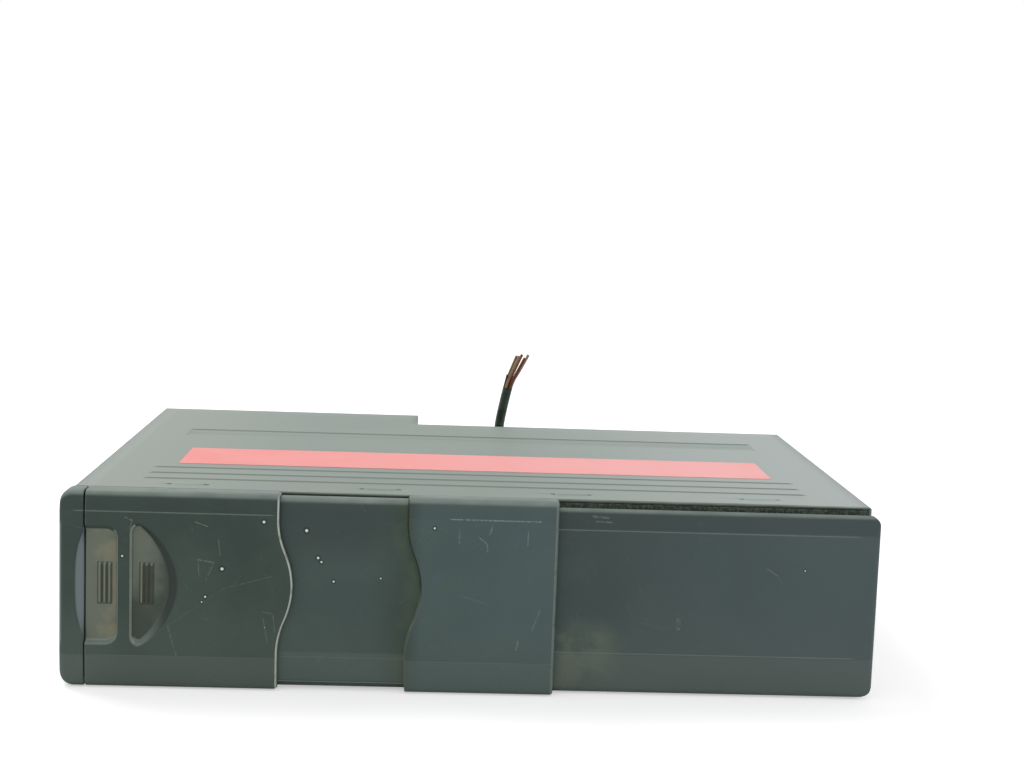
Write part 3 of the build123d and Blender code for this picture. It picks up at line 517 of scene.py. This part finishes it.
def recess_left(x, z):
    """The finger recess that the cap and the leading door share."""
    if x < CAP_RIGHT:
        bow = -127.2 + 3.5 * (abs(z - BULGE_MIDDLE) / 17.0) ** 3
        slope = (x - bow) / max(0.4, CAP_RIGHT - bow)
        return RECESS_DEPTH * min(1.0, max(0.0, slope)) if x > bow else 0.0
    side = step_up(-112.8 - x, 0.0, 1.0)
    corner_x = max(0.0, x + 117.2) / 4.4
    fall = 4.2 * (1 - sqrt(max(0.0, 1 - corner_x**2)))
    ends = step_up(53.2 - fall - z, 0.0, 2.2) * step_up(z - (14.2 + fall), 0.0, 1.5)
    return RECESS_DEPTH * side * ends


def recess_right(x, z):
    """The second finger recess, straight and steep at its left and dished to the right."""
    across = x + 109.6
    round_off = 21.8 - hypot(x + 114.5, z - 34.0)
    if across <= 0 or round_off <= 0:
        return 0.0
    soft = 2.0 + 5.5 * min(1.0, max(0.0, (x + 106.0) / 10.0))
    corner = step_up(min(z - 14.0, 54.0 - z) + across * 0.9, 1.6, 4.2)
    return 1.75 * step_up(across, 0.0, 1.5) * step_up(round_off, 0.0, soft) * corner


def ribs(x, z):
    """Three upright grip ribs in each recess."""
    ends = step_up(z, 27.2, 28.0) * (1 - step_up(z, 40.0, 40.8))
    rise = 0.0
    for first in (-118.9, -105.7):
        for number in range(3):
            rise = max(rise, 1 - (abs(x - first - RIB_PITCH * number) / RIB_HALF) ** 2)
    return RIB_HEIGHT * rise * ends


def rounding(distance, radius):
    """How far a face falls back at a distance from its rounded edge."""
    if distance >= radius:
        return 0.0
    return radius - sqrt(max(0.0, radius**2 - (radius - distance) ** 2))


# shares of the face's height: fine where it has recesses, and wider where it is plain
door_steps = [n / 112 for n in range(113)]
plain_steps = [0, 0.01, 0.03, *[0.06 + 0.88 * n / 30 for n in range(31)], 0.97, 0.99, 1]

front_plastic, here = finish_for("front_plastic")
x, y, z = here.parts()
cloud = here.noise(0.03, 4)
patch = here.noise(0.11, 4)
grain = here.noise(2.4, 2)
# painted light and shade: the face is painted lighter and bluer to the right, paler under the lower crease
# and towards the bottom, and darker over the upper crease
colour = cloud.rise(0.35, 0.65).mix(paint(51, 67, 61), paint(63, 79, 72))
colour = (x.rise(-40, 130) * 0.7).mix(colour, paint(80, 94, 98))
below = z - y * 0.7
colour = ((1 - below.rise(10.2, 11.2)) * 0.3 + (1 - z.rise(6, 34)) * 0.25).mix(colour, paint(100, 111, 104))
colour = ((z + y * 0.7).rise(56.8, 58.2) * 0.4).mix(colour, paint(44, 56, 54))
tinted = patch.rise(0.45, 0.75) * x.band(-12, 18, 12) * z.band(20, 56, 6)
colour = (tinted * 0.4).mix(colour, paint(60, 84, 96))
colour = (x.band(-16, 26.5, 6) * (1 - y.rise(1.7, 2.4)) * 0.4).mix(colour, paint(90, 112, 112))
settled = patch.rise(0.4, 0.7) * x.band(26, 38, 14) * z.band(6, 18, 9) * y.rise(3.0, 3.5)
colour = (settled * 0.5).mix(colour, paint(112, 124, 106))
# how far a place lies to the right of the two bulged edges
near = 1 - here.work("MINIMUM", abs((z - BULGE_MIDDLE) / BULGE_REACH), 1.0)
upper_half = here.work("GREATER_THAN", near, 0.5)
bulge = (2 * near * near - upper_half * (2 * near - 1) * (2 * near - 1)) * BULGE
from_leading = x - bulge - LEADING_RIGHT
from_follower = x - bulge - FOLLOWER_STEP
# dust and moss on the sunk face beside the follower's raised edge, and along the rails; the sunk face is
# also painted darker towards its top
sunk_face = y.band(2.4, 6.2, 0.7)
colour = (sunk_face * (1 - x.rise(-34, -22)) * 0.25).mix(colour, paint(92, 112, 110))
colour = (sunk_face * z.rise(36, 54) * (1 - x.rise(-34, -22)) * 0.45).mix(colour, paint(42, 54, 54))
dusty = sunk_face * from_follower.band(-1.0, 0, 5.5) * (patch.rise(0.3, 0.7) * 0.9 + 0.1)
dusty = dusty * (0.35 + z.rise(6, 40) * 0.65)
colour = (dusty * 0.75).mix(colour, paint(90, 108, 76))
speckle = here.noise(1.1, 4).rise(0.42, 0.6)
ledge = y.rise(6.6, 7.4) * z.rise(58, 60)
colour = (ledge * 0.8).mix(colour, speckle.mix(paint(48, 58, 48), paint(88, 100, 84)))
# finger grease and dust in the two scoops; the D scoop's floor is painted lighter towards its top and left
# and darker at its lower right as painted light and shade, and the walls carry painted highlights and
# painted shade
dished = y.band(1.6, 2.8, 0.4) * (1 - x.rise(-92.5, -91.0)) * x.rise(-123.8, -123.5)
walls = y.band(0.3, 1.1, 0.2) * z.band(13.2, 54.2, 0.5)
dee = x.rise(-111.5, -110.5)
lit = z.rise(16, 52) * (1 - x.rise(-106, -93)) + (patch - 0.5) * 1.2
tone = dee.mix(paint(112, 119, 104), lit.rise(0.0, 0.8).mix(paint(62, 73, 64), paint(110, 118, 104)))
tone = (patch.rise(0.48, 0.66) * (1 - dee) * 0.7).mix(tone, paint(138, 136, 112))
colour = (dished * 0.9).mix(colour, tone)
# painted highlight on the rib tops, and painted shade on the floor between them
ribbed = (x.band(-119.6, -115.0, 0.2) + x.band(-106.4, -101.8, 0.2)) * z.band(27.3, 40.7, 0.4)
colour = (ribbed * y.band(1.6, 2.8, 0.35) * 0.75).mix(colour, paint(60, 64, 52))
colour = (ribbed * y.band(0.7, 1.2, 0.1) * 0.8).mix(colour, paint(132, 136, 118))
# painted highlight on the lit walls: the D scoop's left wall and the left scoop's right wall
wall_highlight = (x.band(-109.8, -107.8, 0.3) + x.band(-114.2, -112.4, 0.2)) * walls
colour = (wall_highlight * (0.45 + patch * 0.7)).mix(colour, paint(150, 156, 142))
# painted shade on the D scoop's right-hand walls
colour = (x.band(-105, -89, 0.6) * walls * 0.8).mix(colour, paint(40, 48, 43))
# painted sheen on the cap's sloping side of the left recess
sloped = y.rise(0.25, 0.6) * (1 - x.rise(-123.9, -123.6)) * z.band(16, 52, 3) * (1 - y.rise(2.2, 2.6))
colour = (sloped * 0.85).mix(colour, paint(122, 132, 136))
# pale rims on the doors' edges, wider and pinker low on the bulge: painted highlights broken up by rubbed
# wear on the bulged edges, with painted shade high on the follower's edge, and rubbed wear on the outer
# edges
rubbed = here.noise(0.35, 3).rise(0.25, 0.5)
shallow = 1 - y.rise(1.5, 2.3)
# painted highlight along the leading door's rounded right edge, broken up by wear
rim = from_leading.band(-0.6, -0.2, 0.14) * shallow * x.rise(-70, -66)
colour = (rim * (0.5 + rubbed * 0.4)).mix(colour, paint(200, 208, 196))
bevel = from_leading.band(-0.1, 0.9, 0.2) * (1 - z.rise(20, 34)) * y.band(0.7, 2.2, 0.2)
colour = (bevel * x.rise(-70, -66) * 0.7).mix(colour, paint(132, 128, 120))
# painted highlight, broken up by wear, low on the follower's raised edge, and painted shade higher up
rim = from_follower.band(-0.1, 0.35, 0.15) * x.rise(-30, -26) * (1 - x.rise(-14, -12))
colour = (rim * rubbed * (1 - z.rise(28, 36)) * 0.5).mix(colour, paint(138, 152, 136))
colour = (rim * z.rise(30, 38) * 0.7).mix(colour, paint(40, 50, 34))
rim = x.band(25.5, 26.3, 0.15) * shallow + x.band(-123.4, -123.1, 0.1) * shallow * 0.6
colour = (rim * rubbed * 0.5).mix(colour, paint(128, 140, 130))
# painted light: what faces up is painted paler in patches, as if lit from above
faces = here.put("NewGeometry", out=1)
upright = faces.parts()[2]
colour = (upright.rise(0.12, 0.6) * (1 - ledge) * (0.35 + patch * 0.7)).mix(colour, paint(136, 149, 142))
# hairline scratches at three slants, gathered in patches
scratches = []
for slant, drawn, seed in ((0.5, 0.05, 3), (2.2, 0.07, 17), (1.3, 0.05, 41)):
    slanted = {"Vector": here + (seed, 0, seed), "Angle": slant}
    turned = here.put("VectorRotate", {"rotation_type": "Y_AXIS"}, slanted)
    drift = turned.noise(0.55, 2, (1, 1, drawn))
    thin = 1 - abs(drift - 0.5).rise(0.0, 0.006)
    gathered = (here + (seed * 5, 0, 0)).noise(0.07, 3).rise(0.54, 0.66)
    scratches.append(thin * gathered)
hair = reduce(Strand.most, scratches) * (1 - x.rise(60, 90) * 0.7)
colour = (hair * 0.15).mix(colour, paint(144, 158, 151))
# single marks read from the photograph: start and end on the face, width and strength
marks = [
    ((-110.7, 55.7), (-108.6, 54.7), 0.22, 0.6), ((-108.5, 54.8), (-109.3, 52.2), 0.2, 0.5),
    ((-88.7, 54.7), (-84.9, 53.4), 0.2, 0.6), ((-87.8, 42.6), (-82.8, 41.8), 0.24, 0.55),
    ((-82.8, 41.8), (-85.2, 36.1), 0.22, 0.35), ((-87.8, 42.2), (-87.4, 37.5), 0.22, 0.35),
    ((-81.4, 49.0), (-80.8, 44.2), 0.3, 0.3), ((-67.1, 26.0), (-63.7, 25.5), 0.22, 0.4),
    ((-63.9, 25.5), (-63.3, 19.5), 0.25, 0.4), ((-64.7, 37.7), (-79.6, 33.4), 0.2, 0.22),
    ((-79.6, 33.4), (-97.2, 20.9), 0.2, 0.14), ((-97.2, 20.9), (-94.4, 11.2), 0.3, 0.3),
    ((-5.2, 54.3), (-5.3, 50.1), 0.3, 0.5), ((1.0, 52.1), (3.6, 50.0), 0.3, 0.5),
    ((3.6, 50.0), (3.9, 47.4), 0.3, 0.5), ((5.2, 55.8), (4.5, 53.2), 0.3, 0.6),
    ((16.7, 54.3), (16.6, 49.7), 0.3, 0.45), ((21.2, 28.4), (18.9, 22.0), 0.3, 0.4),
    ((14.5, 18.4), (14.1, 15.6), 0.4, 0.6), ((94.9, 43.2), (98.4, 41.0), 0.24, 0.4),
    ((98.4, 41.0), (100.2, 38.0), 0.2, 0.3), ((66.6, 26.0), (66.8, 22.4), 0.9, 0.3),
    ((37.6, 59.0), (42.5, 58.6), 0.5, 0.4), ((38.6, 57.4), (43.8, 57.2), 0.3, 0.5),
    ((-67.0, 24.0), (-65.5, 16.0), 0.25, 0.3), ((-8.3, 57.7), (20.6, 57.6), 0.28, 0.9),
]
flat = here * (1, 0, 1)
scores = []
for (x0, z0), (x1, z1), wide, strength in marks:
    reach = hypot(x1 - x0, z1 - z0)
    run = Vector(((x1 - x0) / reach, 0, (z1 - z0) / reach))
    offset = flat - (x0, 0, z0)
    along = offset.work("DOT_PRODUCT", offset, tuple(run))
    aside = offset.work("DOT_PRODUCT", offset, (-run.z, 0, run.x))
    scores.append((1 - abs(aside).rise(wide * 0.4, wide)) * along.band(0, reach, 0.4) * strength)
broken = here.noise(0.9, 3).rise(0.3, 0.6)
colour = (reduce(Strand.most, scores) * broken * 0.65).mix(colour, paint(152, 166, 158))
# painted highlight: a pale line along each crease and along the fixed panel's two steps, fading and breaking
# up
crease_highlight_high = z.band(57.35, 57.6, 0.14) * (1 - y.rise(0.3, 0.6)) * x.band(-125, -66, 3)
crease_highlight_low = z.band(10.75, 10.95, 0.12) * (1 - y.rise(2.9, 3.2)) * x.rise(-123, -120) * 0.45
step_highlight_panel = z.band(54.35, 54.6, 0.14) + z.band(13.8, 14.05, 0.12)
step_highlight_panel = step_highlight_panel * y.rise(3.0, 3.5) * (1 - x.rise(122, 127))
crease_highlight = (crease_highlight_high + crease_highlight_low + step_highlight_panel * 0.95) * (0.35 + here.noise(0.25, 3, (1, 1, 0.2)) * 0.7)
colour = (crease_highlight * 0.75).mix(colour, paint(120, 134, 126))
# white specks of overspray, each in a dark ring
specks = [
    (-67.2, 55.3, 0.55), (-80.2, 39.8, 0.6), (-111.6, 43.2, 0.4), (-85.4, 30.6, 0.42), (-86.5, 28.9, 0.3),
    (-53.9, 52.3, 0.6), (-50.1, 43.5, 0.5), (-49.0, 42.2, 0.42), (-45.0, 35.9, 0.42), (-30.0, 37.3, 0.32),
    (-13.2, 54.7, 0.42), (107.2, 42.9, 0.3), (-66.5, 21.0, 0.2),
]
dots = []
rings = []
for sx, sz, size in specks:
    away = flat.work("DISTANCE", flat, (sx, 0, sz))
    dots.append(1 - away.rise(size * 0.6, size))
    rings.append(away.band(size, size * 1.7, size * 0.4))
dots = reduce(Strand.most, dots)
colour = (reduce(Strand.most, rings) * 0.75).mix(colour, paint(34, 44, 40))
colour = dots.mix(colour, paint(226, 236, 226))
rough = 0.5 + (cloud - 0.5) * 0.2 + hair * 0.12 + dusty * 0.25
relief = grain * 0.5 + hair * 0.4 - dots * 1.5 + patch * 0.3
lay_on(front_plastic, colour, rough, 0.0, relief, 0.04, Specular_IOR_Level=0.35)

# leading door: it laps over the follower, and its right edge swells outwards
outline = section(0, 0, (0, 0), (7.7, 3.5), 1.9, door_steps)
columns = ladder((LEADING_LEFT, -123.0, 0.2), (-123.0, -119.8, 0.5), (-119.8, -114.9, 0.18))
columns += ladder((-114.9, -112.4, 0.25), (-112.4, -109.8, 0.6), (-109.8, -107.6, 0.25))
columns += ladder((-107.6, -101.8, 0.2), (-101.8, -90.6, 0.45), (-90.6, -66.2, 1.6))
columns += ladder((-66.2, -64.2, 0.5), (-64.2, -62.9, 0.16), (-62.9, LEADING_RIGHT, 0.08))
columns = sorted(set(round(c, 3) for c in columns))
columns.append(LEADING_RIGHT + PAST_EDGE)


def leading_surface(x, row):
    """The door's skin. Its right end turns in, and stays clear of the follower round the back."""
    (y, z), (ny, nz) = outline[row]
    sink = rounding(LEADING_RIGHT - x, 1.25) + rounding(x - LEADING_LEFT, 0.3)
    if x > LEADING_RIGHT + PAST_EDGE / 2:
        sink = 2.1
    if ny < -0.95:
        sink += recess_left(x, z) + recess_right(x, z) - ribs(x, z)
    if ny > -0.6:
        sink = min(sink, 0.5)
    shift = swelling(z) * step_up(x, -84.0, -63.6)
    return spot(x + shift, y - ny * sink, z - nz * min(sink, 0.9))


leading = sheet_mesh("leading", columns, list(range(len(outline))), leading_surface)
door = placed("door_leading", leading, front_plastic, "leading_door", "front_plastic", "leading_door")
thicken(door, DOOR_STOCK)

# follower door: a sunk tongue under the leading door, and the raised wider panel
raised = section(0, 0, (0, 0), (6.4, 3.5), 3.0, plain_steps)
sunk = section(2.6, 1.5, (1.1, 1.1), (6.4, 3.5), 1.9, plain_steps)
columns = ladder((-80.0, -30, 4), (-30, -22.0, 1.0), (-22.0, -21.3, 0.07), (-21.3, -20.4, 0.3))
columns += ladder((-20.4, -12, 1.4), (-12, 22, 4), (22, 24.8, 0.9), (24.8, 26.0, 0.16))
columns += ladder((26.0, FOLLOWER_RIGHT, 0.07))
columns = sorted(set(round(c, 3) for c in columns))
columns.append(FOLLOWER_RIGHT + PAST_EDGE)


def follower_surface(x, row):
    """The skin goes from the sunk outline to the raised one just behind the leading door's reach."""
    (y0, z0), (ny, nz) = raised[row]
    (y1, z1), _ = sunk[row]
    share = step_up(x, -21.95, -21.35)
    sink = rounding(FOLLOWER_RIGHT - x, 0.9)
    if x > FOLLOWER_RIGHT + PAST_EDGE / 2:
        sink = 1.9
    y = y1 + (y0 - y1) * share - ny * sink
    height = z1 + (z0 - z1) * share
    shift = swelling(height) * step_up(x, -34.0, -23.6) * (1 - step_up(x, -19.5, -2.0))
    return spot(x + shift, y, height - nz * sink)


follower = sheet_mesh("follower", columns, list(range(len(raised))), follower_surface)
door = placed("door_follower", follower, front_plastic, "follower_door", "front_plastic", "follower_door")
thicken(door, DOOR_STOCK)

# end cap: its outer end is rounded both ways, and its right side sinks to the recess
outline = section(0, 0, (0, 0), (CAP_BACK, CAP_BACK), 0, door_steps)
columns = ladder((OUTER_END + PAST_EDGE, -130.5, 0.15), (-130.5, -127.0, 0.5), (-127.0, CAP_RIGHT, 0.3))
columns.insert(0, OUTER_END)


def cap_surface(x, row):
    """The cap's skin, whose first column runs back as its outer side."""
    (y, z), (ny, nz) = outline[row]
    from_end = x - OUTER_END - PAST_EDGE
    if from_end < -PAST_EDGE / 2:
        y = CAP_BACK
    y += rounding(from_end, 2.2) * (1 - y / CAP_BACK)
    middle = (HEIGHT + BASE) / 2
    off = abs(z - middle)
    z -= rounding(from_end, 4.5) * step_up(off, 24.0, 31.5) * (1 if z > middle else -1)
    sink = rounding(CAP_RIGHT - x, 0.35)
    if ny < -0.95:
        sink += recess_left(x, z)
    return spot(x, y - ny * sink, z - nz * sink)


cap = sheet_mesh("cap", columns, list(range(len(outline))), cap_surface)
end_piece = placed("left_cap", cap, front_plastic, "root", "front_plastic", "end_cap")
thicken(end_piece, CAP_STOCK)

dress(front_plastic, "fascia", "side_panel", "eject_button")

# ------------------------------------------------------------- screws and pins
# Cover, front and boards are held by zinc-plated screws with flat heads. Pins,
# rods and posts are ground steel bar, left bright and lightly oiled.
zinc = grained("screw_zinc", (150, 148, 138), (186, 184, 174), 2.0, 0.35, 0.9, 0.02)
dress(zinc, "cover_screws", "fascia_screws", "board_screws")
ground = grained("ground_bar", (176, 178, 180), (206, 208, 210), 3.0, 0.2, 1.0, 0.01, (0.2, 1, 1))
dress(ground, "lever_pin", "guide_post", "sled_rods", "sled_screw")

# -------------------------------------------------------------- floating frame
# The mechanism sits in its own pressed frame on rubber pads, so that road
# shocks don't reach the disc. The frame is bright zinc-plated sheet.
frame_zinc = grained("frame_zinc", (158, 162, 160), (184, 187, 184), 0.8, 0.36, 0.85, 0.02, (0.1, 1, 1))
dress(frame_zinc, "mech_frame", "frame_top", "damper_posts")
spring_sheet = grained("spring_sheet", (140, 142, 146), (176, 178, 180), 1.5, 0.28, 1.0, 0.01)
dress(spring_sheet, "magazine_leaf", "eject_spring")
dress(grained("pad_rubber", (22, 22, 23), (38, 38, 38), 1.0, 0.8, 0.0, 0.08), "damper_pads")

# ----------------------------------------------------------- magazine and discs
# Six fork-shaped black trays run in a black moulded box. The discs are
# clear polycarbonate over a silvered face, with fine rings.
dress(grained("magazine_black", (26, 27, 28), (42, 43, 44), 1.6, 0.5, 0.0, 0.04), "magazine_shell")
tray_black = grained("tray_black", (62, 64, 66), (80, 82, 84), 1.2, 0.55, 0.0, 0.03)
dress(tray_black, *[f"tray_{n}" for n in range(1, 7)])
disc_silver, here = finish_for("disc_silver")
DISC_CENTRE = (-61.0, 79.0, 0)
SILVERED = (22.5, 58.5)  # the radii between which the disc is silvered
radius = here.work("DISTANCE", here * (1, 1, 0), DISC_CENTRE)
rings = radius.put("TexNoise", {"noise_dimensions": "1D"}, {"W": radius, "Scale": 3.0})
colour = radius.band(*SILVERED, 0.3).mix(paint(176, 184, 190), paint(206, 210, 216))
colour = (rings * 0.3).mix(colour, paint(150, 160, 176))
lay_on(disc_silver, colour, 0.12 + rings * 0.1, radius.band(*SILVERED, 0.2) * 0.9, rings, 0.01)
dress(disc_silver, *[f"disc_{n}" for n in range(1, 7)])

# ---------------------------------------------------------- playing mechanism
# A steel deck carries the spindle motor, the optical sled on two rods and the
# sled's screw. Gears, clamper and sled are black acetal.
deck_zinc = grained("deck_zinc", (150, 154, 152), (178, 181, 178), 0.9, 0.38, 0.85, 0.02)
dress(deck_zinc, "deck_plate", "eject_lever")
acetal = grained("acetal_black", (24, 24, 25), (40, 40, 41), 1.8, 0.42, 0.0, 0.02)
dress(acetal, "turntable", "clamper", "pickup_sled", "lift_pinion", "lift_screw")
motor_can = grained("motor_can", (146, 148, 150), (182, 184, 186), 1.4, 0.3, 0.95, 0.01)
dress(motor_can, "spindle_motor", "sled_motor", "lift_motor")
lens_glass = grained("lens_glass", (60, 40, 96), (92, 66, 138), 1.0, 0.06, 0.0, 0.0, Coat_Weight=0.6)
dress(lens_glass, "pickup_lens")

# ------------------------------------------------------------------ electronics
# Green fibreglass boards with a darker weave and paler tracks, and black
# moulded chips, capacitors and coils soldered on.
board_green, here = finish_for("board_green")
weave = here.put("TexBrick", feeds={"Vector": here * (1, 1, 0), "Scale": 1.1}, out=1)
tracks = abs(here.noise(0.09, 1) - 0.5).rise(0.02, 0.03)
colour = weave.rise(0.2, 0.8).mix(paint(24, 84, 52), paint(32, 98, 60))
colour = tracks.mix(paint(52, 124, 76), colour)
lay_on(board_green, colour, 0.35 + weave * 0.1, 0.0, weave, 0.02)
dress(board_green, "main_board", "switch_board")
dress(grained("part_black", (22, 22, 24), (40, 40, 42), 1.4, 0.5, 0.0, 0.02), "board_parts")

# --------------------------------------------------------------------- setting
# The changer stands on a plain white sheet under a wide soft sky, with one
# large lamp behind its left shoulder and a weak one by the camera.
sheet_white = bpy.data.materials.new("sheet_white")
sheet_white.use_nodes = True
shader = sheet_white.node_tree.nodes["Principled BSDF"]
shader.inputs["Base Color"].default_value = (0.93, 0.93, 0.93, 1)
shader.inputs["Roughness"].default_value = 0.9
shader.inputs["Specular IOR Level"].default_value = 0.1
shader.inputs["Emission Strength"].default_value = 0.45
seen = Strand(sheet_white.node_tree, None).put("LightPath", out="Is Camera Ray")
sheet_white.node_tree.links.new(seen.socket, shader.inputs["Emission Color"])
floor_mesh = bpy.data.meshes.new("floor")
floor_mesh.from_pydata([(-1.5, -1.5, 0), (1.5, -1.5, 0), (1.5, 1.2, 0), (-1.5, 1.2, 0)], [], [(0, 1, 2, 3)])
floor_mesh.materials.append(sheet_white)
floor = bpy.data.objects.new("floor", floor_mesh)
floor.location.z = -0.0002
bpy.context.scene.collection.objects.link(floor)

sky = bpy.data.worlds.new("sky")
sky.use_nodes = True
bpy.context.scene.world = sky
path = Strand(sky.node_tree, None).put("LightPath", out="Is Camera Ray")
ray = path.socket.node.outputs
seen = path.most(Strand(path.tree, ray["Is Glossy Ray"])).most(Strand(path.tree, ray["Is Transmission Ray"]))
backdrop = sky.node_tree.nodes["Background"]
backdrop.inputs["Color"].default_value = (1, 1, 1, 1)
sky.node_tree.links.new((seen * 0.4 + 0.6).socket, backdrop.inputs["Strength"])


def lamp(name, place, aim, size, power):
    """A broad lamp at a place, turned towards its aim."""
    light = bpy.data.lights.new(name, "AREA")
    light.shape = "RECTANGLE"
    light.size, light.size_y = size
    light.energy = power
    holder = bpy.data.objects.new(name, light)
    holder.location = place
    holder.rotation_euler = (Vector(aim) - Vector(place)).to_track_quat("-Z", "Y").to_euler()
    bpy.context.scene.collection.objects.link(holder)


lamp("rear_lamp", (-0.7, 0.5, 1.3), (0, 0, 0.03), (0.6, 0.6), 7)
lamp("front_lamp", (0.3, -1.4, 0.9), (0, 0, 0.03), (1.0, 0.6), 2.2)
